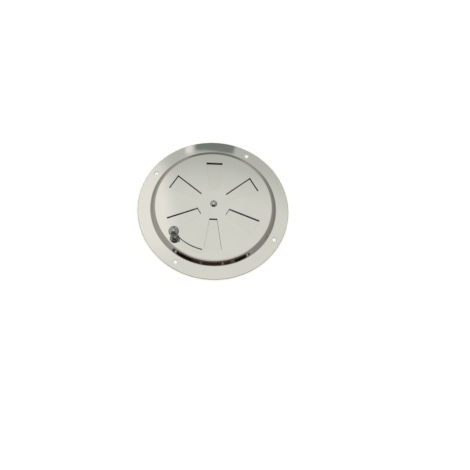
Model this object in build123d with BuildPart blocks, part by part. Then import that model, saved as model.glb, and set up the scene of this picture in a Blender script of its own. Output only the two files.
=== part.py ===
"""Round butterfly vent: a pressed stainless face plate with a rotating shutter behind it.

The origin is the centre of the flange's flat back, which lies on the panel that the vent
is screwed to. +Z points out of the front and +Y is the upper side. The shutter is drawn
closed, with its knob at the closed end of the curved slot.
"""

from build123d import *
import os
from math import asin, cos, degrees, radians, sin, tan

# Driving dimensions, in millimetres and degrees

# Face plate, pressed from one sheet
flange_d = 127.0
plate_sheet = 0.8
face_z = 4.0
wall_foot_r = 53.1
wall_angle = 52.0
top_bend_r = 2.2
foot_bend_r = 1.0
rim_chamfer = 0.25

# Vents, the same six in the face plate and in the shutter
vent_count = 6
vent_first_angle = 30.0
vent_inner_r = 13.5
vent_outer_r = 40.1
vent_inner_half_w = 3.2
vent_outer_half_w = 7.2

# Screw holes in the flange
screw_hole_d = 4.0
screw_hole_count = 4
screw_hole_pcd = 116.2
screw_first_angle = 60.0

# Knob travel along the slot
knob_angle = 223.0
knob_path_r = 42.5
shutter_travel = 33.0
slot_width = 3.4
slot_corner_r = 0.8
slot_end_play = 0.3

# Shutter disc and the gap in which it turns
shutter_gap = 1.0
shutter_sheet = 0.5
shutter_d = 93.0
shutter_vent_outer_r = 39.4
shutter_offset = 30.0

# Pivot rivet and its washers
rivet_d = 3.0
rivet_head_d = 6.0
rivet_head_h = 2.0
rivet_head_rim_h = 0.15
rivet_tail_d = 5.0
rivet_tail_h = 0.7
rivet_tail_chamfer = 0.4
plate_hole_play = 0.05
pivot_play = 0.08
spacer_d = 10.0
spring_od = 9.0
spring_sheet = 0.2
spring_height = 0.4
spring_play = 0.02
tail_washer_d = 8.0
tail_washer_h = 0.3

# Knob and the screw that holds it to the shutter
knob_d = 8.3
knob_centre_z = 12.0
knob_neck_d = 3.0
knob_bore_d = 2.0
knob_bore_depth = 4.8
knob_screw_d = 1.9
knob_screw_reach = 4.0
knob_screw_hole_d = 2.2
knob_screw_head_d = 3.8
knob_screw_head_h = 1.1
knob_screw_head_chamfer = 0.2
knob_screw_slot_w = 0.5
knob_screw_slot_depth = 0.5
knob_screw_slot_turn = 40.0
knob_washer_d = 5.0
knob_washer_h = 0.3

# Heights that follow from the stack
plate_under_z = face_z - plate_sheet
shutter_top_z = plate_under_z - shutter_gap
shutter_under_z = shutter_top_z - shutter_sheet
spring_under_z = shutter_under_z - spring_height
tail_washer_under_z = spring_under_z - tail_washer_h
rivet_tail_z = tail_washer_under_z - rivet_tail_h
knob_washer_under_z = shutter_under_z - knob_washer_h
knob_x = knob_path_r * cos(radians(knob_angle))
knob_y = knob_path_r * sin(radians(knob_angle))


def vent_outline(inner_r, outer_r, inner_half_w, outer_half_w):
    """One vent, lying along +X: a tapered slot with straight ends."""
    return [
        (inner_r, -inner_half_w),
        (outer_r, -outer_half_w),
        (outer_r, outer_half_w),
        (inner_r, inner_half_w),
    ]


os.makedirs("parts", exist_ok=True)

# Face plate: flange, sloping wall and raised face in one sheet. Its front has the rounded
# bends, and the back has the same wall with plain corners.
with BuildPart() as front_plate:
    bend_run = tan(radians(wall_angle / 2))
    foot_corner_r = wall_foot_r - foot_bend_r * bend_run
    top_corner_r = foot_corner_r - (face_z - plate_sheet) / tan(radians(wall_angle))
    back_shift = plate_sheet * bend_run
    with BuildSketch(Plane.XZ):
        with BuildLine():
            front_line = FilletPolyline(
                (0, face_z),
                (top_corner_r, face_z),
                (foot_corner_r, plate_sheet),
                (flange_d / 2, plate_sheet),
                radius=[top_bend_r, foot_bend_r],
            )
            Polyline(
                front_line @ 1,
                (flange_d / 2, 0),
                (foot_corner_r - back_shift, 0),
                (top_corner_r - back_shift, plate_under_z),
                (0, plate_under_z),
                front_line @ 0,
            )
        make_face()
    revolve(axis=Axis.Z)
    rim = front_plate.edges().filter_by(GeomType.CIRCLE).sort_by(SortBy.RADIUS)[-2:]
    chamfer(rim.sort_by(Axis.Z)[-1], length=rim_chamfer)

    with BuildSketch(Plane.XY.offset(face_z)):
        with PolarLocations(0, vent_count, start_angle=vent_first_angle):
            Polygon(
                *vent_outline(vent_inner_r, vent_outer_r, vent_inner_half_w, vent_outer_half_w),
                align=None,
            )
    extrude(amount=-2 * plate_sheet, mode=Mode.SUBTRACT)

    neck_half_angle = degrees(asin(knob_neck_d / 2 / knob_path_r)) + slot_end_play
    slot_start = knob_angle - neck_half_angle
    slot_sweep = shutter_travel + 2 * neck_half_angle
    with BuildSketch(Plane.XY.offset(face_z)) as knob_slot:
        with BuildLine():
            inner_edge = CenterArc((0, 0), knob_path_r - slot_width / 2, slot_start, slot_sweep)
            outer_edge = CenterArc((0, 0), knob_path_r + slot_width / 2, slot_start, slot_sweep)
            Line(inner_edge @ 0, outer_edge @ 0)
            Line(inner_edge @ 1, outer_edge @ 1)
        make_face()
        fillet(knob_slot.vertices(), radius=slot_corner_r)
    extrude(amount=-2 * plate_sheet, mode=Mode.SUBTRACT)

    with BuildSketch(Plane.XY.offset(face_z)):
        Circle(rivet_d / 2 + plate_hole_play)
    extrude(amount=-2 * plate_sheet, mode=Mode.SUBTRACT)

    with BuildSketch(Plane.XY.offset(plate_sheet)):
        with PolarLocations(screw_hole_pcd / 2, screw_hole_count, start_angle=screw_first_angle):
            Circle(screw_hole_d / 2)
    extrude(amount=-2 * plate_sheet, mode=Mode.SUBTRACT)
front_plate.part.label = "front_plate"
export_step(front_plate.part, "parts/front_plate.step")

# Shutter: a flat disc whose vents have radial sides, half a pitch round from the face's
with BuildPart() as shutter_plate:
    vent_slope = vent_inner_half_w / vent_inner_r
    with BuildSketch(Plane.XY.offset(shutter_under_z)):
        Circle(shutter_d / 2)
        Circle(rivet_d / 2 + pivot_play, mode=Mode.SUBTRACT)
        with Locations((knob_x, knob_y)):
            Circle(knob_screw_hole_d / 2, mode=Mode.SUBTRACT)
    extrude(amount=shutter_sheet)
    with BuildSketch(Plane.XY.offset(shutter_under_z)):
        with PolarLocations(0, vent_count, start_angle=vent_first_angle - shutter_offset):
            Polygon(
                *vent_outline(
                    vent_inner_r,
                    shutter_vent_outer_r,
                    vent_inner_half_w,
                    shutter_vent_outer_r * vent_slope,
                ),
                align=None,
            )
    extrude(amount=shutter_sheet, mode=Mode.SUBTRACT)
shutter_plate.part.label = "shutter_plate"
export_step(shutter_plate.part, "parts/shutter_plate.step")

# Pivot rivet: domed head on the face, shank through the stack, tail set over its washer
with BuildPart() as pivot_rivet:
    with BuildSketch(Plane.XZ):
        with BuildLine():
            dome = TangentArc(
                (0, face_z + rivet_head_h),
                (rivet_head_d / 2, face_z + rivet_head_rim_h),
                tangent=(1, 0),
            )
            Polyline(
                dome @ 1,
                (rivet_head_d / 2, face_z),
                (rivet_d / 2, face_z),
                (rivet_d / 2, tail_washer_under_z),
                (rivet_tail_d / 2, tail_washer_under_z),
                (rivet_tail_d / 2, rivet_tail_z),
                (0, rivet_tail_z),
                dome @ 0,
            )
        make_face()
    revolve(axis=Axis.Z)
    tail_edge = pivot_rivet.edges().filter_by(GeomType.CIRCLE).sort_by(Axis.Z)[0]
    chamfer(tail_edge, length=rivet_tail_chamfer)
pivot_rivet.part.label = "pivot_rivet"
export_step(pivot_rivet.part, "parts/pivot_rivet.step")

# Spacer washer: nylon, keeps the shutter off the face plate
with BuildPart() as spacer_washer:
    with BuildSketch(Plane.XY.offset(shutter_top_z)):
        Circle(spacer_d / 2)
        Circle(rivet_d / 2 + plate_hole_play, mode=Mode.SUBTRACT)
    extrude(amount=shutter_gap)
spacer_washer.part.label = "spacer_washer"
export_step(spacer_washer.part, "parts/spacer_washer.step")

# Spring washer: a flat ring bowed about one line, presses the shutter forward
with BuildPart() as spring_washer:
    spring_r = spring_od / 2
    bow = spring_height - spring_sheet - spring_play
    bow_r = (spring_r**2 + bow**2) / (2 * bow)
    bow_centre_z = spring_under_z + bow - bow_r
    with BuildSketch(Plane.XZ):
        with Locations((0, bow_centre_z)):
            Circle(bow_r + spring_sheet)
            Circle(bow_r, mode=Mode.SUBTRACT)
    extrude(amount=spring_od, both=True)
    with BuildSketch(Plane.XY.offset(spring_under_z - spring_sheet)):
        Circle(spring_r)
        Circle(rivet_d / 2 + pivot_play, mode=Mode.SUBTRACT)
    extrude(amount=2 * spring_height, mode=Mode.INTERSECT)
spring_washer.part.label = "spring_washer"
export_step(spring_washer.part, "parts/spring_washer.step")

# Tail washer: flat, under the rivet's set tail
with BuildPart() as tail_washer:
    with BuildSketch(Plane.XY.offset(tail_washer_under_z)):
        Circle(tail_washer_d / 2)
        Circle(rivet_d / 2 + plate_hole_play, mode=Mode.SUBTRACT)
    extrude(amount=tail_washer_h)
tail_washer.part.label = "tail_washer"
export_step(tail_washer.part, "parts/tail_washer.step")

# Knob: a turned ball on a short neck that passes through the slot and stands on the shutter
with BuildPart() as knob:
    knob_r = knob_d / 2
    neck_r = knob_neck_d / 2
    knob_section = Plane(origin=(knob_x, knob_y, 0), x_dir=(1, 0, 0), z_dir=(0, -1, 0))
    with BuildSketch(knob_section):
        with BuildLine():
            ball = CenterArc((0, knob_centre_z), knob_r, 90, degrees(asin(neck_r / knob_r)) - 180)
            Polyline(ball @ 1, (neck_r, shutter_top_z), (0, shutter_top_z), ball @ 0)
        make_face()
    revolve(axis=Axis((knob_x, knob_y, 0), (0, 0, 1)))
    with BuildSketch(Plane.XY.offset(shutter_top_z)):
        with Locations((knob_x, knob_y)):
            Circle(knob_bore_d / 2)
    extrude(amount=knob_bore_depth, mode=Mode.SUBTRACT)
knob.part.label = "knob"
export_step(knob.part, "parts/knob.step")

# Knob screw: slotted cheese head behind the shutter
with BuildPart() as knob_screw:
    with BuildSketch(Plane.XY.offset(knob_washer_under_z - knob_screw_head_h)):
        with Locations((knob_x, knob_y)):
            Circle(knob_screw_head_d / 2)
    extrude(amount=knob_screw_head_h)
    head_edge = knob_screw.edges().filter_by(GeomType.CIRCLE).sort_by(Axis.Z)[0]
    chamfer(head_edge, length=knob_screw_head_chamfer)
    with BuildSketch(Plane.XY.offset(knob_washer_under_z)):
        with Locations((knob_x, knob_y)):
            Circle(knob_screw_d / 2)
    extrude(amount=knob_washer_h + shutter_sheet + knob_screw_reach)
    with BuildSketch(Plane.XY.offset(knob_washer_under_z - knob_screw_head_h)):
        with Locations((knob_x, knob_y)):
            Rectangle(2 * knob_screw_head_d, knob_screw_slot_w, rotation=knob_screw_slot_turn)
    extrude(amount=knob_screw_slot_depth, mode=Mode.SUBTRACT)
knob_screw.part.label = "knob_screw"
export_step(knob_screw.part, "parts/knob_screw.step")

# Knob washer: flat, between the screw's head and the shutter
with BuildPart() as knob_washer:
    with BuildSketch(Plane.XY.offset(knob_washer_under_z)):
        with Locations((knob_x, knob_y)):
            Circle(knob_washer_d / 2)
            Circle(knob_screw_hole_d / 2, mode=Mode.SUBTRACT)
    extrude(amount=knob_washer_h)
knob_washer.part.label = "knob_washer"
export_step(knob_washer.part, "parts/knob_washer.step")
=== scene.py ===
"""Round butterfly vent in polished stainless steel, lying on a pale floor.

The vent is put together here in the order of the bench: the pressed face plate first, then
the spacer, the shutter, the spring and the tail washer behind it, the rivet that holds them,
and the ball knob with its washer and screw. Lengths are in millimetres until a mesh is made.
"""

from math import asin, atan2, cos, degrees, pi, radians, sin, tan

import bmesh
import bpy
from mathutils import Matrix, Vector
from mathutils.geometry import delaunay_2d_cdt


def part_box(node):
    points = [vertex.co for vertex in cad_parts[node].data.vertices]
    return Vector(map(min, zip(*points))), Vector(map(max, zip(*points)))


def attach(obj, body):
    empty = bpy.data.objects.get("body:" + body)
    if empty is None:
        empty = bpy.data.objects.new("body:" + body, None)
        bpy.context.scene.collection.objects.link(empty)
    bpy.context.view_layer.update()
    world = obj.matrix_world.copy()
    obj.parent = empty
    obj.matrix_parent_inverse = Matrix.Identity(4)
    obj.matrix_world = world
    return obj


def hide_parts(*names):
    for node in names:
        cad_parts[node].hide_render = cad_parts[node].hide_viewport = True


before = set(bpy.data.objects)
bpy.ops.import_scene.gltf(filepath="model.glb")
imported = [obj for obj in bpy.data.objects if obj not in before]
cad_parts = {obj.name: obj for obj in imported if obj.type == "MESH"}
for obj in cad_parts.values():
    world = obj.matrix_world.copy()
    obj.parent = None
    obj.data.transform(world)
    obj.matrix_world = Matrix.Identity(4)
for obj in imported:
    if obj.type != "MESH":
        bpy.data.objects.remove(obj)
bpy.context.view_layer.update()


# Camera
# The photograph looks down on the vent from its lower side. Its lens was found by fitting
# the flange, the wall, the vents and the screw holes.
MM = 0.001
scene = bpy.context.scene
photo_px = 470
sensor_mm = 36.0
focal_px = 377.65
origin_px = (213.46, 205.71)
camera_distance = 320.0
camera_azimuth = -3.793
camera_elevation = 64.656
camera_roll = -5.465

camera = bpy.data.objects.new("camera", bpy.data.cameras.new("camera"))
scene.collection.objects.link(camera)
azimuth, elevation, roll = map(radians, (camera_azimuth, camera_elevation, camera_roll))
back = Vector((sin(azimuth) * cos(elevation), -cos(azimuth) * cos(elevation), sin(elevation)))
right = Vector((cos(azimuth), sin(azimuth), 0))
up = back.cross(right)
rolled_right = cos(roll) * right - sin(roll) * up
rolled_up = sin(roll) * right + cos(roll) * up
turn = Matrix((rolled_right, rolled_up, back)).transposed().to_4x4()
camera.matrix_world = Matrix.Translation(back * camera_distance * MM) @ turn
camera.data.sensor_width = sensor_mm
camera.data.lens = focal_px * sensor_mm / photo_px
camera.data.shift_x = (photo_px / 2 - origin_px[0]) / photo_px
camera.data.shift_y = (origin_px[1] - photo_px / 2) / photo_px
camera.data.clip_start = 0.005
scene.camera = camera


# Floor
# A sheet of matt white card, wide enough to run out of every view. It is kept out of the
# mirror finish, where the studio's own lower half stands for it.
def linear(hex_colour):
    """The linear colour of an sRGB hex value, with alpha."""
    values = [int(hex_colour[i : i + 2], 16) / 255 for i in (0, 2, 4)]
    return [v / 12.92 if v <= 0.04045 else ((v + 0.055) / 1.055) ** 2.4 for v in values] + [1.0]


def plug(tree, node, links):
    """Fills sockets, each given by its name or number, with a value or with another's output."""
    for key, value in links.items():
        if isinstance(value, bpy.types.NodeSocket):
            tree.links.new(value, node.inputs[key])
        else:
            node.inputs[key].default_value = value


def add_node(tree, kind, links=None, **settings):
    """Adds a node with its settings, and fills its sockets."""
    node = tree.nodes.new(kind)
    for key, value in settings.items():
        setattr(node, key, value)
    plug(tree, node, links or {})
    return node


def new_finish(name):
    """A material with an empty tree, and its shader with the default settings of a metal."""
    material = bpy.data.materials.new(name)
    material.use_nodes = True
    tree = material.node_tree
    tree.nodes.clear()
    shader = add_node(tree, "ShaderNodeBsdfPrincipled")
    add_node(tree, "ShaderNodeOutputMaterial", {"Surface": shader.outputs[0]})
    return material, tree, shader


def white_card():
    """Matt card: a trace of pulp mottle in its colour."""
    material, tree, shader = new_finish("white_card")
    where = add_node(tree, "ShaderNodeTexCoord").outputs["Object"]
    mottle_mm = 40.0
    mottle = add_node(tree, "ShaderNodeTexNoise", {"Vector": where, "Scale": 1 / (mottle_mm * MM)})
    colour = add_node(
        tree,
        "ShaderNodeMix",
        {0: mottle.outputs[0], 6: linear("F4F4F2"), 7: linear("F8F8F6")},
        data_type="RGBA",
    )
    plug(
        tree,
        shader,
        {"Base Color": colour.outputs[2], "Roughness": 0.9, "Specular IOR Level": 0.1},
    )
    return material


floor_half = 3000 * MM
floor_mesh = bpy.data.meshes.new("floor")
corners = [(x * floor_half, y * floor_half, 0) for x, y in ((-1, -1), (1, -1), (1, 1), (-1, 1))]
floor_mesh.from_pydata(corners, [], [(0, 1, 2, 3)])
floor = bpy.data.objects.new("floor", floor_mesh)
scene.collection.objects.link(floor)
floor.data.materials.append(white_card())
floor.visible_glossy = False


# Studio
# A white tent with a large soft light overhead. The polished steel shows it back: bright
# ceiling, grey side walls and the dark of the room behind the camera.
def studio():
    """The world: plain white for the eye and the floor, and the tent for what the steel mirrors."""
    world = bpy.data.worlds.new("studio")
    scene.world = world
    world.use_nodes = True
    tree = world.node_tree
    tree.nodes.clear()
    toward = add_node(tree, "ShaderNodeTexCoord").outputs["Generated"]
    split = add_node(tree, "ShaderNodeSeparateXYZ", {0: toward})
    rise = add_node(tree, "ShaderNodeMath", {0: split.outputs["Z"]}, operation="ARCSINE")
    height = add_node(tree, "ShaderNodeMath", {0: rise.outputs[0]}, operation="DEGREES")
    swing = add_node(
        tree,
        "ShaderNodeMath",
        {0: split.outputs["X"], 1: split.outputs["Y"]},
        operation="ARCTAN2",
    )
    compass = add_node(tree, "ShaderNodeMath", {0: swing.outputs[0]}, operation="DEGREES")

    # The tent from its floor to its top, as heights in degrees with a colour
    tent = [
        (-90, "B4B4B0"),
        (-25, "B8B8B4"),
        (2, "BABAB5"),
        (6, "D4D4CF"),
        (16, "D4D4CF"),
        (24, "BFC0BA"),
        (50, "B4B6B0"),
        (58, "C6C8C2"),
        (60, "D6D8D1"),
        (63, "E4E5DF"),
        (75, "EAEAE3"),
        (90, "F4F3EC"),
    ]
    ramp = add_node(
        tree,
        "ShaderNodeMapRange",
        {0: height.outputs[0], 1: -90.0, 2: 90.0, 3: 0.0, 4: 1.0},
    )
    bands = add_node(tree, "ShaderNodeValToRGB", {0: ramp.outputs[0]})
    stops = bands.color_ramp.elements
    while len(stops) > 1:
        stops.remove(stops[-1])
    for i, (degree, colour) in enumerate(tent):
        stop = stops[0] if i == 0 else stops.new((degree + 90) / 180)
        stop.position = (degree + 90) / 180
        stop.color = linear(colour)
    shown = bands.outputs[0]

    # Cards and gaps in the tent: the direction clockwise from the vent's upper side and the
    # height, then half of each width, all in degrees, the edge's softness, how much a card
    # covers, and its colour
    cards = [
        ("left_wall", -78, 60, 51.5, 12, 1.5, 1.0, "BBBAB5"),
        ("right_wall", 80, 60, 46, 12, 1.5, 1.0, "A9A8A3"),
        ("right_curtain", 80, 15, 46, 36, 4.0, 0.5, "8E8D88"),
        ("left_fill", -19, 64, 7.5, 7, 3.0, 0.75, "FFFDF8"),
        ("far_screen", 2.7, 54.4, 5.2, 2.1, 0.2, 1.0, "7E8480"),
        ("far_gap", 2, 24, 15, 21, 3.0, 1.0, "7C827E"),
        ("far_strip", -4.2, 55.8, 1.0, 1.2, 0.3, 1.0, "F2F2EC"),
        ("room_ceiling", 180.6, 50, 52, 17, 2.0, 1.0, "5E5853"),
        ("room_back_wall", 180.6, 21, 52, 14, 2.0, 1.0, "6C645F"),
        ("room_floor", 180.6, -2, 52, 11, 1.0, 1.0, "0E0807"),
        ("room_furniture", 178, -2, 26, 11, 2.0, 1.0, "3A2825"),
        ("room_slit_left", -132, 0, 0.9, 16, 0.3, 1.0, "DAD8D2"),
        ("room_slit_right", 132, 0, 0.9, 16, 0.3, 1.0, "CECCC6"),
        ("room_lamp", 165, -1, 1.0, 10, 0.4, 1.0, "A88F72"),
        ("room_door", 152, -1, 2.5, 10, 0.6, 1.0, "6A5A52"),
        ("room_window", -167, -1, 1.5, 10, 0.5, 1.0, "6E5C54"),
    ]
    for name, side, level, half_side, half_level, soft, cover, colour in cards:
        spans = []
        for reading, middle, half, most in (
            (compass, side, half_side, 1.0),
            (height, level, half_level, cover),
        ):
            off = reading.outputs[0]
            for operation, extra in (
                ("SUBTRACT", {1: float(middle)}),
                ("WRAP", {1: 180.0, 2: -180.0}),
                ("ABSOLUTE", {}),
            ):
                step = add_node(tree, "ShaderNodeMath", {0: off, **extra}, operation=operation)
                off = step.outputs[0]
            span = add_node(
                tree,
                "ShaderNodeMapRange",
                {0: off, 1: half - soft, 2: half + soft, 3: most, 4: 0.0},
                interpolation_type="SMOOTHSTEP",
            )
            spans.append(span.outputs[0])
        covered = add_node(
            tree, "ShaderNodeMath", {0: spans[0], 1: spans[1]}, operation="MULTIPLY"
        )
        mixed = add_node(
            tree,
            "ShaderNodeMix",
            {0: covered.outputs[0], 6: shown, 7: linear(colour)},
            data_type="RGBA",
            label=name,
        )
        shown = mixed.outputs[2]

    tent_strength, plain_strength = 1.25, 1.17
    mirrored = add_node(
        tree, "ShaderNodeBackground", {"Color": shown, "Strength": tent_strength}
    )
    plain = add_node(
        tree, "ShaderNodeBackground", {"Color": linear("FBFBFA"), "Strength": plain_strength}
    )
    ray = add_node(tree, "ShaderNodeLightPath")
    both = add_node(
        tree,
        "ShaderNodeMixShader",
        {0: ray.outputs["Is Glossy Ray"], 1: plain.outputs[0], 2: mirrored.outputs[0]},
    )
    add_node(tree, "ShaderNodeOutputWorld", {"Surface": both.outputs[0]})


studio()
scene.view_settings.view_transform = "Standard"


# Face plate
# One blank of bright stainless sheet, pressed up in the middle, pierced with six tapered
# vents, the knob's slot and four screw holes, then polished on its face.
plate_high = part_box("front_plate")[1] / MM
inside_box = 0.01
plate_r = plate_high.x - inside_box
face_z = plate_high.z
sheet = 0.8
wall_angle = 52.0
foot_r = 53.1
wall_top_r = 48.7
top_bend_r = 2.2
foot_bend_r = 1.0
rim_r = 0.3
cut_edge_r = 0.1
ring_steps = 288
# Each bend has one more ring of points this far out on the flats, so that they mirror straight
hold = 0.04
# The lathed rings reach this far onto the flats, which are filled afterwards
face_reach, flange_reach, rim_reach = 3.5, 1.5, 1.0
pivot_hole_r = 1.55
vent_count = 6
vent_first_angle = 30.0
vent_reach = (13.5, 40.1)
vent_half_width = (3.2, 7.2)
screw_hole_r = 2.0
screw_pcd = 116.2
screw_angles = (60, 150, 240, 330)
slot_path_r = 42.5
slot_half_width = 1.7
slot_corner_r = 0.8
slot_angles = (220.68, 258.32)


def rounded_line(corners, radii, step_angle=6.0):
    """A line through the corners, each rounded by its radius, with a point just before and after."""
    line = [Vector(corners[0])]
    for before, corner, after, radius in zip(corners, corners[1:], corners[2:], radii):
        before, corner, after = Vector(before), Vector(corner), Vector(after)
        into, out = (corner - before).normalized(), (after - corner).normalized()
        bend = into.angle(out)
        run = radius * tan(bend / 2)
        side = 1 if into.x * out.y - into.y * out.x > 0 else -1
        centre = corner - into * run + Vector((-into.y, into.x)) * radius * side
        start = corner - into * run - centre
        steps = max(2, round(degrees(bend) / step_angle))
        line.append(corner - into * (run + hold))
        for i in range(steps + 1):
            a = side * bend * i / steps
            turned = Vector((start.x * cos(a) - start.y * sin(a), start.x * sin(a) + start.y * cos(a)))
            line.append(centre + turned)
        line.append(corner + out * (run + hold))
    line.append(Vector(corners[-1]))
    return line


def spin(bm, line, steps=ring_steps, centre=(0, 0)):
    """Turns a line of (radius, height) points about an upright axis. A point on the axis is a pole."""
    rings = []
    for radius, z in line:
        if radius < 1e-6:
            rings.append([bm.verts.new((*centre, z))])
            continue
        ring = []
        for i in range(steps):
            a = 2 * pi * i / steps
            ring.append(bm.verts.new((centre[0] + radius * cos(a), centre[1] + radius * sin(a), z)))
        rings.append(ring)
    for lower, upper in zip(rings, rings[1:]):
        for i in range(steps):
            j = (i + 1) % steps
            low_pair = [lower[i % len(lower)], lower[j % len(lower)]]
            high_pair = [upper[j % len(upper)], upper[i % len(upper)]]
            corners = list(dict.fromkeys(low_pair + high_pair))
            if len(corners) > 2:
                bm.faces.new(corners)


def circle(radius, centre=(0, 0), steps=ring_steps):
    """Points round a circle."""
    angles = (2 * pi * i / steps for i in range(steps))
    return [Vector((centre[0] + radius * cos(a), centre[1] + radius * sin(a))) for a in angles]


def grown(outline, by):
    """An anticlockwise outline with straight sides, each moved out by the same amount."""
    moved = []
    for i, corner in enumerate(outline):
        into = (corner - outline[i - 1]).normalized()
        out = (outline[(i + 1) % len(outline)] - corner).normalized()
        normal_in, normal_out = Vector((into.y, -into.x)), Vector((out.y, -out.x))
        both = normal_in + normal_out
        moved.append(corner + both * (by / (1 + normal_in.dot(normal_out))))
    return moved


def vent_outline(angle, reach, half_width):
    """A tapered vent with straight ends, anticlockwise."""
    a = radians(angle)
    along, across = Vector((cos(a), sin(a))), Vector((-sin(a), cos(a)))
    ends = [(u, -v) for u, v in zip(reach, half_width)] + [(u, v) for u, v in zip(reach, half_width)][::-1]
    return [along * u + across * v for u, v in ends]


def slot_outline(by=0.0):
    """The curved slot with small corner radii, grown by an amount, anticlockwise."""
    inner, outer = slot_path_r - slot_half_width - by, slot_path_r + slot_half_width + by
    corner_r = slot_corner_r + by
    corner_steps = 6
    points = []
    for radius, ends, inward in ((outer, slot_angles, -1), (inner, slot_angles[::-1], 1)):
        for end_number, end in enumerate(ends):
            turn_in = 1 if end == slot_angles[0] else -1
            reach = radius + inward * corner_r
            lean = asin((corner_r - by) / reach)
            a = radians(end) + turn_in * lean
            centre = Vector((cos(a), sin(a))) * reach
            facing = a if inward == -1 else a + pi
            side = a - turn_in * pi / 2
            start, stop = (side, facing) if end_number == 0 else (facing, side)
            sweep = (stop - start + pi) % (2 * pi) - pi
            for i in range(corner_steps + 1):
                t = start + sweep * i / corner_steps
                points.append(centre + Vector((cos(t), sin(t))) * corner_r)
    return with_arcs(points, inner, outer)


def with_arcs(points, inner, outer):
    """Fills the long arcs of the slot between its rounded corners."""
    near, long_gap, steps = 0.02, 5.0, 48
    filled = []
    for i, point in enumerate(points):
        filled.append(point)
        following = points[(i + 1) % len(points)]
        for radius in (inner, outer):
            on_arc = abs(point.length - radius) < near and abs(following.length - radius) < near
            if on_arc and (following - point).length > long_gap:
                a, b = atan2(point.y, point.x), atan2(following.y, following.x)
                sweep = (b - a + pi) % (2 * pi) - pi
                for k in range(1, steps):
                    t = a + sweep * k / steps
                    filled.append(Vector((cos(t), sin(t))) * radius)
    return filled


def fill_flat(bm, z, rim, holes):
    """A flat face with holes, from one outline and a list of outlines."""
    points, outlines = [], []
    for outline in [rim, *holes]:
        outlines.append(list(range(len(points), len(points) + len(outline))))
        points += outline
    verts, _, faces, *_ = delaunay_2d_cdt(points, [], outlines, 2, 1e-6)
    made = [bm.verts.new((*v, z)) for v in verts]
    for face in faces:
        bm.faces.new([made[i] for i in face])


def cut_through(bm, outline_at, top_z, under_z, edge_r=cut_edge_r):
    """The side of a hole, with its two edges slightly broken. Returns the outline on the flats."""
    steps = 3
    levels = [(edge_r + hold, top_z)]
    for a in (pi / 2 * i / steps for i in range(steps + 1)):
        levels.append((edge_r * (1 - sin(a)), top_z - edge_r * (1 - cos(a))))
    levels += [(by, top_z + under_z - z) for by, z in reversed(levels)]
    rings = [[bm.verts.new((*p, z)) for p in outline_at(by)] for by, z in levels]
    for upper, lower in zip(rings, rings[1:]):
        for i in range(len(upper)):
            j = (i + 1) % len(upper)
            bm.faces.new([upper[i], upper[j], lower[j], lower[i]])
    return outline_at(edge_r + hold)


def finish_piece(bm, name, node, body, slot, *materials):
    """Closes the mesh, scales it to metres and puts it in place of its node. A second material
    goes on what faces the panel."""
    weld, sharp_angle, downward = 1e-4, 28, -0.1
    bmesh.ops.remove_doubles(bm, verts=bm.verts, dist=weld)
    bmesh.ops.recalc_face_normals(bm, faces=bm.faces)
    for face in bm.faces:
        face.material_index = 1 if len(materials) > 1 and face.normal.z < downward else 0
    bmesh.ops.scale(bm, vec=(MM, MM, MM), verts=bm.verts)
    mesh = bpy.data.meshes.new(name)
    bm.to_mesh(mesh)
    bm.free()
    mesh.shade_smooth()
    mesh.set_sharp_from_angle(angle=radians(sharp_angle))
    piece = bpy.data.objects.new(name, mesh)
    scene.collection.objects.link(piece)
    for material in materials:
        piece.data.materials.append(material)
    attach(piece, body)
    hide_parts(node)


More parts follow.
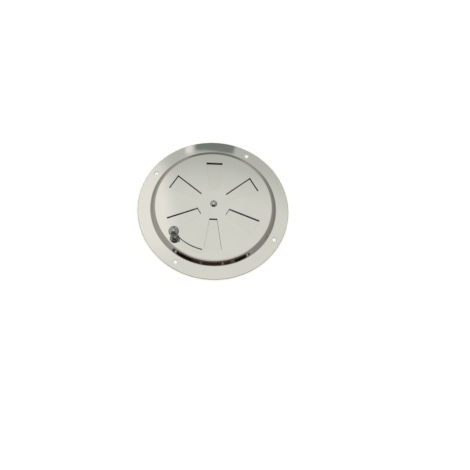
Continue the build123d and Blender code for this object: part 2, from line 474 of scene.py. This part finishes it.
def polished_304_sheet():
    """304 stainless, buffed on a wheel: a clear mirror with slow waves, faint haze and hairlines.
    The wheel hardly reaches the drawn wall and its bends, so these are greyer and less clear."""
    material, tree, shader = new_finish("polished_304_sheet")
    where = add_node(tree, "ShaderNodeTexCoord").outputs["Object"]
    haze_mm = 14.0
    haze = add_node(
        tree, "ShaderNodeTexNoise", {"Vector": where, "Scale": 1 / (haze_mm * MM), "Detail": 4.0}
    )
    tint = add_node(
        tree,
        "ShaderNodeMix",
        {0: haze.outputs[0], 6: linear("CECDC9"), 7: linear("D4D3CF")},
        data_type="RGBA",
    )
    gloss = add_node(
        tree,
        "ShaderNodeMapRange",
        {0: haze.outputs[0], 1: 0.3, 2: 0.7, 3: 0.02, 4: 0.055},
    )
    level = add_node(
        tree, "ShaderNodeVectorMath", {0: where, 1: (1.0, 1.0, 0.0)}, operation="MULTIPLY"
    )
    from_axis = add_node(tree, "ShaderNodeVectorMath", {0: level.outputs[0]}, operation="LENGTH")
    wall_middle_r, wall_half, fade = (foot_r + wall_top_r) / 2, (foot_r - wall_top_r) / 2, 0.1
    off_wall = add_node(
        tree,
        "ShaderNodeMath",
        {0: from_axis.outputs["Value"], 1: wall_middle_r * MM},
        operation="SUBTRACT",
    )
    off_wall = add_node(tree, "ShaderNodeMath", {0: off_wall.outputs[0]}, operation="ABSOLUTE")
    on_wall = add_node(
        tree,
        "ShaderNodeMapRange",
        {
            0: off_wall.outputs[0],
            1: (wall_half - fade) * MM,
            2: (wall_half + fade) * MM,
            3: 1.0,
            4: 0.0,
        },
    )
    tint = add_node(
        tree,
        "ShaderNodeMix",
        {0: on_wall.outputs[0], 6: tint.outputs[2], 7: linear("B4B1AB")},
        data_type="RGBA",
    )
    wall_roughness = 0.09
    gloss = add_node(
        tree,
        "ShaderNodeMix",
        {0: on_wall.outputs[0], 2: gloss.outputs[0], 3: wall_roughness},
    )
    wave_mm = 30.0
    wave = add_node(
        tree, "ShaderNodeTexNoise", {"Vector": where, "Scale": 1 / (wave_mm * MM), "Detail": 1.0}
    )
    slow = add_node(
        tree,
        "ShaderNodeBump",
        {"Height": wave.outputs[0], "Strength": 0.04, "Distance": 0.8 * MM},
    )
    # Buffing lines are about 0.02 mm apart, too fine to show, so they are drawn at 0.25 mm
    hair_mm = 0.25
    buffed_along = 0.5
    stretched = add_node(
        tree,
        "ShaderNodeMapping",
        {"Vector": where, "Rotation": (0, 0, buffed_along), "Scale": (1.0, 0.02, 1.0)},
    )
    hairs = add_node(
        tree,
        "ShaderNodeTexNoise",
        {"Vector": stretched.outputs[0], "Scale": 1 / (hair_mm * MM), "Detail": 2.0},
    )
    fine = add_node(
        tree,
        "ShaderNodeBump",
        {"Height": hairs.outputs[0], "Strength": 0.04, "Distance": 0.02 * MM, "Normal": slow.outputs[0]},
    )
    plug(
        tree,
        shader,
        {
            "Base Color": tint.outputs[2],
            "Roughness": gloss.outputs[0],
            "Normal": fine.outputs[0],
            "Metallic": 1.0,
        },
    )
    return material


def mill_finish_304():
    """The unbuffed back, as it left the rolling mill: soft grey, with an even fine mottle."""
    material, tree, shader = new_finish("mill_finish_304")
    where = add_node(tree, "ShaderNodeTexCoord").outputs["Object"]
    # The etched grains are about 0.02 mm, drawn at 0.4 mm so that they show
    grain_mm = 0.4
    grain = add_node(
        tree, "ShaderNodeTexNoise", {"Vector": where, "Scale": 1 / (grain_mm * MM), "Detail": 5.0}
    )
    stain_mm = 25.0
    stain = add_node(
        tree, "ShaderNodeTexNoise", {"Vector": where, "Scale": 1 / (stain_mm * MM), "Detail": 3.0}
    )
    tint = add_node(
        tree,
        "ShaderNodeMix",
        {0: stain.outputs[0], 6: linear("B3B1AC"), 7: linear("C6C4BF")},
        data_type="RGBA",
    )
    gloss = add_node(
        tree, "ShaderNodeMapRange", {0: grain.outputs[0], 1: 0.3, 2: 0.7, 3: 0.24, 4: 0.36}
    )
    pits = add_node(
        tree,
        "ShaderNodeBump",
        {"Height": grain.outputs[0], "Strength": 0.15, "Distance": 0.03 * MM},
    )
    plug(
        tree,
        shader,
        {
            "Base Color": tint.outputs[2],
            "Roughness": gloss.outputs[0],
            "Normal": pits.outputs[0],
            "Metallic": 1.0,
        },
    )
    return material


def face_plate():
    """Lathes the two rings of bends and fills the pierced flats between them."""
    bm = bmesh.new()
    under_z = face_z - sheet
    half_bend = tan(radians(wall_angle / 2))
    foot_corner = foot_r - foot_bend_r * half_bend
    top_corner = foot_corner - under_z / tan(radians(wall_angle))
    shift = sheet * half_bend
    face_rim = top_corner - face_reach
    flange_in = foot_corner + flange_reach
    rim_in = plate_r - rim_reach
    front = [(face_rim, face_z), (top_corner, face_z), (foot_corner, sheet), (flange_in, sheet)]
    spin(bm, rounded_line(front, [top_bend_r, foot_bend_r]))
    behind = [(face_rim, under_z), (top_corner - shift, under_z), (foot_corner - shift, 0), (flange_in, 0)]
    spin(bm, rounded_line(behind, [top_bend_r - sheet, foot_bend_r + sheet]))
    rim = [(rim_in, sheet), (plate_r, sheet), (plate_r, 0), (rim_in, 0)]
    spin(bm, rounded_line(rim, [rim_r, cut_edge_r], 15.0))

    face_holes = [cut_through(bm, lambda by: circle(pivot_hole_r + by, steps=64), face_z, under_z)]
    face_holes.append(cut_through(bm, slot_outline, face_z, under_z))
    for i in range(vent_count):
        vent = vent_outline(vent_first_angle + 360 / vent_count * i, vent_reach, vent_half_width)
        face_holes.append(cut_through(bm, lambda by: grown(vent, by), face_z, under_z))
    screw_holes = []
    for angle in screw_angles:
        centre = Vector((cos(radians(angle)), sin(radians(angle)))) * screw_pcd / 2
        hole = cut_through(bm, lambda by: circle(screw_hole_r + by, centre, 64), sheet, 0.0)
        screw_holes.append(hole)
    for z in (face_z, under_z):
        fill_flat(bm, z, circle(face_rim), face_holes)
    for z in (sheet, 0.0):
        fill_flat(bm, z, circle(rim_in), [circle(flange_in), *screw_holes])
    finish_piece(
        bm,
        "face_plate",
        "front_plate",
        "root",
        "polished_stainless",
        polished_304_sheet(),
        mill_finish_304(),
    )


face_plate()


# Spacer
# A ring of moulded nylon on the rivet, between the face and the shutter. It keeps the two
# sheets a millimetre apart and lets the shutter turn without a scrape.
spacer_edge_r = 0.15


def washer(name, node, body, slot, bore_r, edge_r, material, bow=0.0):
    """A ring with rounded edges in the place of its node. A bowed one stands highest along Y."""
    low, high = (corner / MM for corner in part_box(node))
    middle, outer_r = (low + high) / 2, (high.x - low.x) / 2
    top_z = high.z - bow
    half_way = (bore_r + outer_r) / 2
    section = [
        (half_way, low.z),
        (outer_r, low.z),
        (outer_r, top_z),
        (bore_r, top_z),
        (bore_r, low.z),
        (half_way, low.z),
    ]
    rounded = rounded_line(section, [edge_r] * 4, 22.5)
    line = []
    longest = 0.5
    for start, end in zip(rounded, rounded[1:]):
        steps = max(1, round((end - start).length / longest))
        line += [start.lerp(end, i / steps) for i in range(steps)]
    bm = bmesh.new()
    spin(bm, line + [Vector(section[-1])], 96, (middle.x, middle.y))
    for vert in bm.verts:
        vert.co.z += bow * (1 - ((vert.co.x - middle.x) / outer_r) ** 2)
    finish_piece(bm, name, node, body, slot, material)


def moulded_nylon():
    """Natural nylon 66, moulded: milky and waxy, with a faint orange-peel skin."""
    material, tree, shader = new_finish("moulded_nylon")
    where = add_node(tree, "ShaderNodeTexCoord").outputs["Object"]
    cloud_mm = 3.0
    cloud = add_node(
        tree, "ShaderNodeTexNoise", {"Vector": where, "Scale": 1 / (cloud_mm * MM), "Detail": 3.0}
    )
    tint = add_node(
        tree,
        "ShaderNodeMix",
        {0: cloud.outputs[0], 6: linear("E6E2D5"), 7: linear("EFECE2")},
        data_type="RGBA",
    )
    peel_mm = 0.3
    peel = add_node(
        tree, "ShaderNodeTexNoise", {"Vector": where, "Scale": 1 / (peel_mm * MM), "Detail": 2.0}
    )
    gloss = add_node(
        tree, "ShaderNodeMapRange", {0: peel.outputs[0], 1: 0.3, 2: 0.7, 3: 0.38, 4: 0.5}
    )
    skin = add_node(
        tree,
        "ShaderNodeBump",
        {"Height": peel.outputs[0], "Strength": 0.2, "Distance": 0.03 * MM},
    )
    plug(
        tree,
        shader,
        {
            "Base Color": tint.outputs[2],
            "Roughness": gloss.outputs[0],
            "Normal": skin.outputs[0],
            "IOR": 1.53,
            "Subsurface Weight": 0.15,
            "Subsurface Radius": (0.6 * MM, 0.5 * MM, 0.4 * MM),
        },
    )
    return material


washer("spacer", "spacer_washer", "root", "nylon", pivot_hole_r, spacer_edge_r, moulded_nylon())


# Shutter
# A flat disc blanked from half-millimetre bright annealed stainless, with six vents of its
# own. It turns on the rivet, and the knob's screw goes through a hole near its rim.
shutter_low, shutter_high = (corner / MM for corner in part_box("shutter_plate"))
shutter_r = shutter_high.x
shutter_edge_r = 0.06
shutter_hole_r = 1.58
shutter_vent_first_angle = 0.0
shutter_vent_reach = (13.5, 39.4)
shutter_vent_half_width = tuple(r * vent_half_width[0] / vent_reach[0] for r in shutter_vent_reach)
knob_low, knob_high = (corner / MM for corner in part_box("knob"))
knob_centre = ((knob_low + knob_high) / 2).xy
knob_hole_r = 1.1


def bright_annealed_304():
    """Thin 304 strip, cold rolled and bright annealed: mirror bright, with fine lines along the
    rolling direction that soften what it shows."""
    material, tree, shader = new_finish("bright_annealed_304")
    where = add_node(tree, "ShaderNodeTexCoord").outputs["Object"]
    # Rolling lines are about 0.05 mm apart, drawn at 0.3 mm so that they show
    line_mm = 0.3
    stretched = add_node(
        tree, "ShaderNodeMapping", {"Vector": where, "Rotation": (0, 0, 1.1), "Scale": (1.0, 0.01, 1.0)}
    )
    rolled = add_node(
        tree,
        "ShaderNodeTexNoise",
        {"Vector": stretched.outputs[0], "Scale": 1 / (line_mm * MM), "Detail": 3.0},
    )
    tint = add_node(
        tree,
        "ShaderNodeMix",
        {0: rolled.outputs[0], 6: linear("CBC9C5"), 7: linear("D6D5D1")},
        data_type="RGBA",
    )
    gloss = add_node(
        tree, "ShaderNodeMapRange", {0: rolled.outputs[0], 1: 0.35, 2: 0.65, 3: 0.04, 4: 0.09}
    )
    lines = add_node(
        tree,
        "ShaderNodeBump",
        {"Height": rolled.outputs[0], "Strength": 0.06, "Distance": 0.02 * MM},
    )
    plug(
        tree,
        shader,
        {
            "Base Color": tint.outputs[2],
            "Roughness": gloss.outputs[0],
            "Normal": lines.outputs[0],
            "Metallic": 1.0,
        },
    )
    return material


def shutter():
    """Turns the rim, cuts the vents and the two holes, and fills the flats."""
    bm = bmesh.new()
    top_z, under_z = shutter_high.z, shutter_low.z
    rim_in = shutter_r - rim_reach
    rim = [(rim_in, top_z), (shutter_r, top_z), (shutter_r, under_z), (rim_in, under_z)]
    spin(bm, rounded_line(rim, [shutter_edge_r] * 2, 30.0))
    outlines = [
        lambda by: circle(shutter_hole_r + by, steps=64),
        lambda by: circle(knob_hole_r + by, knob_centre, 48),
    ]
    for i in range(vent_count):
        angle = shutter_vent_first_angle + 360 / vent_count * i
        vent = vent_outline(angle, shutter_vent_reach, shutter_vent_half_width)
        outlines.append(lambda by, vent=vent: grown(vent, by))
    holes = [cut_through(bm, outline, top_z, under_z, shutter_edge_r) for outline in outlines]
    for z in (top_z, under_z):
        fill_flat(bm, z, circle(rim_in), holes)
    finish_piece(
        bm, "shutter", "shutter_plate", "shutter", "polished_stainless", bright_annealed_304()
    )


shutter()


# Spring
# A ring of thin spring steel, bowed about one line. It presses the shutter towards the face,
# and its drag holds the shutter where the knob leaves it.
spring_bow = 0.18
spring_bore_r = 1.58
spring_edge_r = 0.05


def rolled_spring_steel():
    """Hardened spring strip: darker than the sheet, half bright, with a warm temper cast."""
    material, tree, shader = new_finish("rolled_spring_steel")
    where = add_node(tree, "ShaderNodeTexCoord").outputs["Object"]
    temper_mm = 4.0
    temper = add_node(
        tree, "ShaderNodeTexNoise", {"Vector": where, "Scale": 1 / (temper_mm * MM), "Detail": 2.0}
    )
    tint = add_node(
        tree,
        "ShaderNodeMix",
        {0: temper.outputs[0], 6: linear("918B82"), 7: linear("A39D92")},
        data_type="RGBA",
    )
    line_mm = 0.15
    stretched = add_node(tree, "ShaderNodeMapping", {"Vector": where, "Scale": (1.0, 0.03, 1.0)})
    rolled = add_node(
        tree,
        "ShaderNodeTexNoise",
        {"Vector": stretched.outputs[0], "Scale": 1 / (line_mm * MM), "Detail": 2.0},
    )
    gloss = add_node(
        tree, "ShaderNodeMapRange", {0: rolled.outputs[0], 1: 0.3, 2: 0.7, 3: 0.22, 4: 0.36}
    )
    lines = add_node(
        tree,
        "ShaderNodeBump",
        {"Height": rolled.outputs[0], "Strength": 0.15, "Distance": 0.02 * MM},
    )
    plug(
        tree,
        shader,
        {
            "Base Color": tint.outputs[2],
            "Roughness": gloss.outputs[0],
            "Normal": lines.outputs[0],
            "Metallic": 1.0,
        },
    )
    return material


washer(
    "spring",
    "spring_washer",
    "root",
    "spring_steel",
    spring_bore_r,
    spring_edge_r,
    rolled_spring_steel(),
    spring_bow,
)


# Tail washer
# A flat stainless washer, blanked and then tumbled with stones, which rounded its edges. The
# rivet's tail is set down on it.
tail_edge_r = 0.1


def tumbled_stainless():
    """Vibratory tumbled 304: satin, peppered with small dents that glint at the edges."""
    material, tree, shader = new_finish("tumbled_stainless")
    where = add_node(tree, "ShaderNodeTexCoord").outputs["Object"]
    dent_mm = 0.35
    dents = add_node(
        tree, "ShaderNodeTexVoronoi", {"Vector": where, "Scale": 1 / (dent_mm * MM)}, feature="SMOOTH_F1"
    )
    haze_mm = 1.5
    haze = add_node(
        tree, "ShaderNodeTexNoise", {"Vector": where, "Scale": 1 / (haze_mm * MM), "Detail": 3.0}
    )
    tint = add_node(
        tree,
        "ShaderNodeMix",
        {0: haze.outputs[0], 6: linear("ADABA6"), 7: linear("C0BEB9")},
        data_type="RGBA",
    )
    gloss = add_node(
        tree, "ShaderNodeMapRange", {0: haze.outputs[0], 1: 0.3, 2: 0.7, 3: 0.24, 4: 0.4}
    )
    hollows = add_node(
        tree,
        "ShaderNodeBump",
        {"Height": dents.outputs["Distance"], "Strength": 0.25, "Distance": 0.04 * MM},
    )
    plug(
        tree,
        shader,
        {
            "Base Color": tint.outputs[2],
            "Roughness": gloss.outputs[0],
            "Normal": hollows.outputs[0],
            "Metallic": 1.0,
        },
    )
    return material


tumbled = tumbled_stainless()
washer("tail_ring", "tail_washer", "root", "washer_steel", pivot_hole_r, tail_edge_r, tumbled)


# Rivet
# A solid stainless rivet, cold headed with a high polished dome. Its tail was spread over the
# washer by a punch, which left a dimple.
rivet_low, rivet_high = (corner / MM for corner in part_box("pivot_rivet"))
rivet_head_r = rivet_high.x
rivet_rim_h = 0.15
rivet_shank_r = 1.5
rivet_tail_r = 2.5
rivet_crown = 4.0
punch_r, punch_depth = 0.9, 0.18


def turned_lines(name, line_mm, light, dark, smooth, rough, depth_mm, centre=(0, 0)):
    """A metal turned or spun about an upright axis: fine rings that stretch each highlight a
    little. The wave texture draws twenty rings in 2 pi lengths at a scale of one."""
    material, tree, shader = new_finish(name)
    where = add_node(tree, "ShaderNodeTexCoord").outputs["Object"]
    offset = (-centre[0] * MM, -centre[1] * MM, 0)
    from_axis = add_node(tree, "ShaderNodeMapping", {"Vector": where, "Location": offset})
    one_ring_scale = pi / 10
    rings = add_node(
        tree,
        "ShaderNodeTexWave",
        {
            "Vector": from_axis.outputs[0],
            "Scale": one_ring_scale / (line_mm * MM),
            "Distortion": 0.4,
            "Detail": 2.0,
        },
        wave_type="RINGS",
        rings_direction="Z",
    )
    tint = add_node(
        tree,
        "ShaderNodeMix",
        {0: rings.outputs["Fac"], 6: linear(dark), 7: linear(light)},
        data_type="RGBA",
    )
    gloss = add_node(
        tree, "ShaderNodeMapRange", {0: rings.outputs["Fac"], 1: 0.0, 2: 1.0, 3: rough, 4: smooth}
    )
    grooves = add_node(
        tree,
        "ShaderNodeBump",
        {"Height": rings.outputs["Fac"], "Strength": 0.1, "Distance": depth_mm * MM},
    )
    plug(
        tree,
        shader,
        {
            "Base Color": tint.outputs[2],
            "Roughness": gloss.outputs[0],
            "Normal": grooves.outputs[0],
            "Metallic": 1.0,
        },
    )
    return material


def rivet():
    """Lathes the head, nearly flat on top and steep at its rim, with the shank and the set tail."""
    rise = rivet_high.z - face_z - rivet_rim_h
    dome_steps = 24
    punch_floor = 0.4
    line = []
    for i in range(dome_steps + 1):
        out = sin(pi / 2 * i / dome_steps)
        line.append(Vector((rivet_head_r * out, rivet_high.z - rise * out**rivet_crown)))
    line[0].x = 0.0
    tail_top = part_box("tail_washer")[0].z / MM
    tail_bottom = rivet_low.z
    below = [
        line[-1],
        (rivet_head_r, face_z),
        (rivet_shank_r, face_z),
        (rivet_shank_r, tail_top),
        (rivet_tail_r, tail_top),
        (rivet_tail_r, tail_bottom),
        (punch_r, tail_bottom),
        (punch_floor * punch_r, tail_bottom + punch_depth),
        (0, tail_bottom + punch_depth),
    ]
    # One radius for each corner: the head's rim and root, the shank's end, the tail and its dimple
    line += rounded_line(below, [0.05, 0.05, 0.05, 0.08, 0.42, 0.2, 0.2], 12.0)[1:]
    line[-1].x = 0.0
    bm = bmesh.new()
    spin(bm, line, 96)
    # The die's rings are about 0.05 mm apart, drawn at 0.22 mm so that they show
    headed = turned_lines("cold_headed_rivet", 0.22, "BDBCB8", "B2B1AD", 0.03, 0.07, 0.01)
    finish_piece(bm, "rivet", "pivot_rivet", "root", "rivet_steel", headed)


rivet()


# Knob
# A brass ball and neck turned in one piece and chrome plated. The neck passes through the
# slot and stands on the shutter, so it carries the shutter round.
knob_r = (knob_high.x - knob_low.x) / 2
knob_neck_r = 1.5
knob_fillet_r = 0.5
knob_bore_r = 1.0
knob_bore_depth = 4.8
drill_point_h = 0.5


def chromed_brass():
    """Decorative chrome over nickel: a cool, slightly dark mirror on a faintly uneven turned ball."""
    material, tree, shader = new_finish("chromed_brass")
    where = add_node(tree, "ShaderNodeTexCoord").outputs["Object"]
    peel_mm = 1.6
    peel = add_node(
        tree, "ShaderNodeTexNoise", {"Vector": where, "Scale": 1 / (peel_mm * MM), "Detail": 2.0}
    )
    tint = add_node(
        tree,
        "ShaderNodeMix",
        {0: peel.outputs[0], 6: linear("A9ABAC"), 7: linear("B1B3B4")},
        data_type="RGBA",
    )
    gloss = add_node(
        tree, "ShaderNodeMapRange", {0: peel.outputs[0], 1: 0.3, 2: 0.7, 3: 0.02, 4: 0.05}
    )
    uneven = add_node(
        tree,
        "ShaderNodeBump",
        {"Height": peel.outputs[0], "Strength": 0.06, "Distance": 0.04 * MM},
    )
    plug(
        tree,
        shader,
        {
            "Base Color": tint.outputs[2],
            "Roughness": gloss.outputs[0],
            "Normal": uneven.outputs[0],
            "Metallic": 1.0,
        },
    )
    return material


def knob():
    """Lathes the ball, the small fillet under it, the neck and the bore for the screw."""
    ball_z = knob_high.z - knob_r
    fillet_x = knob_neck_r + knob_fillet_r
    reach = knob_r + knob_fillet_r
    fillet_z = ball_z - (reach**2 - fillet_x**2) ** 0.5
    meet = atan2(fillet_x, ball_z - fillet_z)
    ball_steps, fillet_steps = 48, 8
    line = []
    for i in range(ball_steps + 1):
        a = (pi - meet) * i / ball_steps
        line.append(Vector((knob_r * sin(a), ball_z + knob_r * cos(a))))
    line[0].x = 0.0
    for i in range(1, fillet_steps + 1):
        a = (pi / 2 - meet) * i / fillet_steps
        away = Vector((-sin(meet + a), cos(meet + a)))
        line.append(Vector((fillet_x, fillet_z)) + away * knob_fillet_r)
    foot_z = knob_low.z
    below = [
        line[-1],
        (knob_neck_r, foot_z),
        (knob_bore_r, foot_z),
        (knob_bore_r, foot_z + knob_bore_depth - drill_point_h),
        (0, foot_z + knob_bore_depth),
    ]
    # One radius for each corner: the neck's foot, the bore's mouth and its end
    line += rounded_line(below, [0.12, 0.08, 0.05], 15.0)[1:]
    line[-1].x = 0.0
    bm = bmesh.new()
    spin(bm, line, 96, knob_centre)
    finish_piece(bm, "ball_knob", "knob", "shutter", "knob_chrome", chromed_brass())


knob()


# Knob washer
# A small tumbled washer behind the shutter, of the same stainless as the one on the rivet. It
# keeps the screw's head from biting into the sheet.
knob_ring_edge_r = 0.08
washer(
    "knob_ring", "knob_washer", "shutter", "washer_steel", knob_hole_r, knob_ring_edge_r, tumbled
)


# Knob screw
# A slotted cheese-head machine screw in stainless, turned and then threaded by a die. It
# comes up from behind through the washer and the shutter into the knob's neck.
screw_low, screw_high = (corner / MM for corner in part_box("knob_screw"))
screw_head_r = (screw_high.x - screw_low.x) / 2
screw_head_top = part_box("knob_washer")[0].z / MM
screw_r = 0.95
screw_edge_r = 0.2
screw_steps = 64
screw_root_r = 0.05
thread_pitch, thread_depth = 0.4, 0.16
thread_levels = 8
driver_half_width, driver_depth, driver_turn = 0.25, 0.5, 40.0


def cut_driver_slot(bm):
    """Takes a straight slot out of the head's underside and closes its floor and two walls."""
    floor_z = screw_low.z + driver_depth
    a = radians(driver_turn)
    along, across = Vector((cos(a), sin(a))), Vector((-sin(a), cos(a)))
    whole = bm.verts[:] + bm.edges[:] + bm.faces[:]
    bmesh.ops.bisect_plane(bm, geom=whole, plane_co=(0, 0, floor_z), plane_no=(0, 0, 1))

    def off_line(point):
        """How far a point lies to the side of the slot's middle."""
        return (point.xy - knob_centre).dot(across)

    for side in (1, -1):
        faces = [face for face in bm.faces if face.calc_center_median().z < floor_z]
        edges = list({edge for face in faces for edge in face.edges})
        verts = list({vert for face in faces for vert in face.verts})
        wall = knob_centre + across * driver_half_width * side
        bmesh.ops.bisect_plane(
            bm, geom=verts + edges + faces, plane_co=(*wall, 0), plane_no=(*across, 0)
        )
    gone = []
    for face in bm.faces:
        centre = face.calc_center_median()
        if centre.z < floor_z and abs(off_line(centre)) < driver_half_width:
            gone.append(face)
    bmesh.ops.delete(bm, geom=gone, context="FACES")
    near = 1e-4
    low_verts = [vert for vert in bm.verts if vert.co.z < floor_z + near]
    inside = [vert for vert in low_verts if abs(off_line(vert.co)) < driver_half_width + near]
    on_floor = [vert for vert in inside if abs(vert.co.z - floor_z) < near]
    sides = [
        [vert for vert in inside if abs(off_line(vert.co) - side * driver_half_width) < near]
        for side in (1, -1)
    ]
    on_floor.sort(key=lambda vert: atan2(*(vert.co.xy - knob_centre).yx))
    bm.faces.new(on_floor)
    for wall in sides:
        level = sum(vert.co.z for vert in wall) / len(wall)
        wall.sort(key=lambda vert: atan2(vert.co.z - level, (vert.co.xy - knob_centre).dot(along)))
        bm.faces.new(wall)


def threaded_shank(bm):
    """A rolled thread: the radius rises and falls with height, and winds once a pitch."""
    rings = []
    plain, point, point_slope, crest = 0.4, 0.35, 0.9, 1.2
    length = screw_high.z - screw_head_top
    level_steps = round(length / (thread_pitch / thread_levels))
    for k in range(level_steps + 1):
        run = length * k / level_steps
        fade = min(1, max(0, (run - plain) / thread_pitch))
        taper = max(0, run - (length - point)) * point_slope
        ring = []
        for i in range(screw_steps):
            turn_part = i / screw_steps
            ridge = abs(2 * ((run / thread_pitch - turn_part) % 1) - 1)
            radius = screw_r - thread_depth * fade * (1 - min(1, crest * ridge)) - taper
            a = 2 * pi * turn_part
            place = knob_centre + Vector((cos(a), sin(a))) * radius
            ring.append(bm.verts.new((*place, screw_head_top + run)))
        rings.append(ring)
    for lower, upper in zip(rings, rings[1:]):
        for i in range(screw_steps):
            j = (i + 1) % screw_steps
            bm.faces.new([lower[i], lower[j], upper[j], upper[i]])
    bm.faces.new(rings[-1])


def knob_screw():
    """Lathes the head, cuts its slot and adds the thread."""
    head = [
        (0, screw_low.z),
        (screw_head_r, screw_low.z),
        (screw_head_r, screw_head_top),
        (screw_r, screw_head_top),
    ]
    bm = bmesh.new()
    spin(bm, rounded_line(head, [screw_edge_r, screw_root_r], 22.5), screw_steps, knob_centre)
    cut_driver_slot(bm)
    threaded_shank(bm)
    turned = turned_lines(
        "turned_a2_screw", 0.12, "C4C2BE", "ADABA7", 0.2, 0.34, 0.01, knob_centre
    )
    finish_piece(bm, "knob_bolt", "knob_screw", "shutter", "screw_steel", turned)


knob_screw()
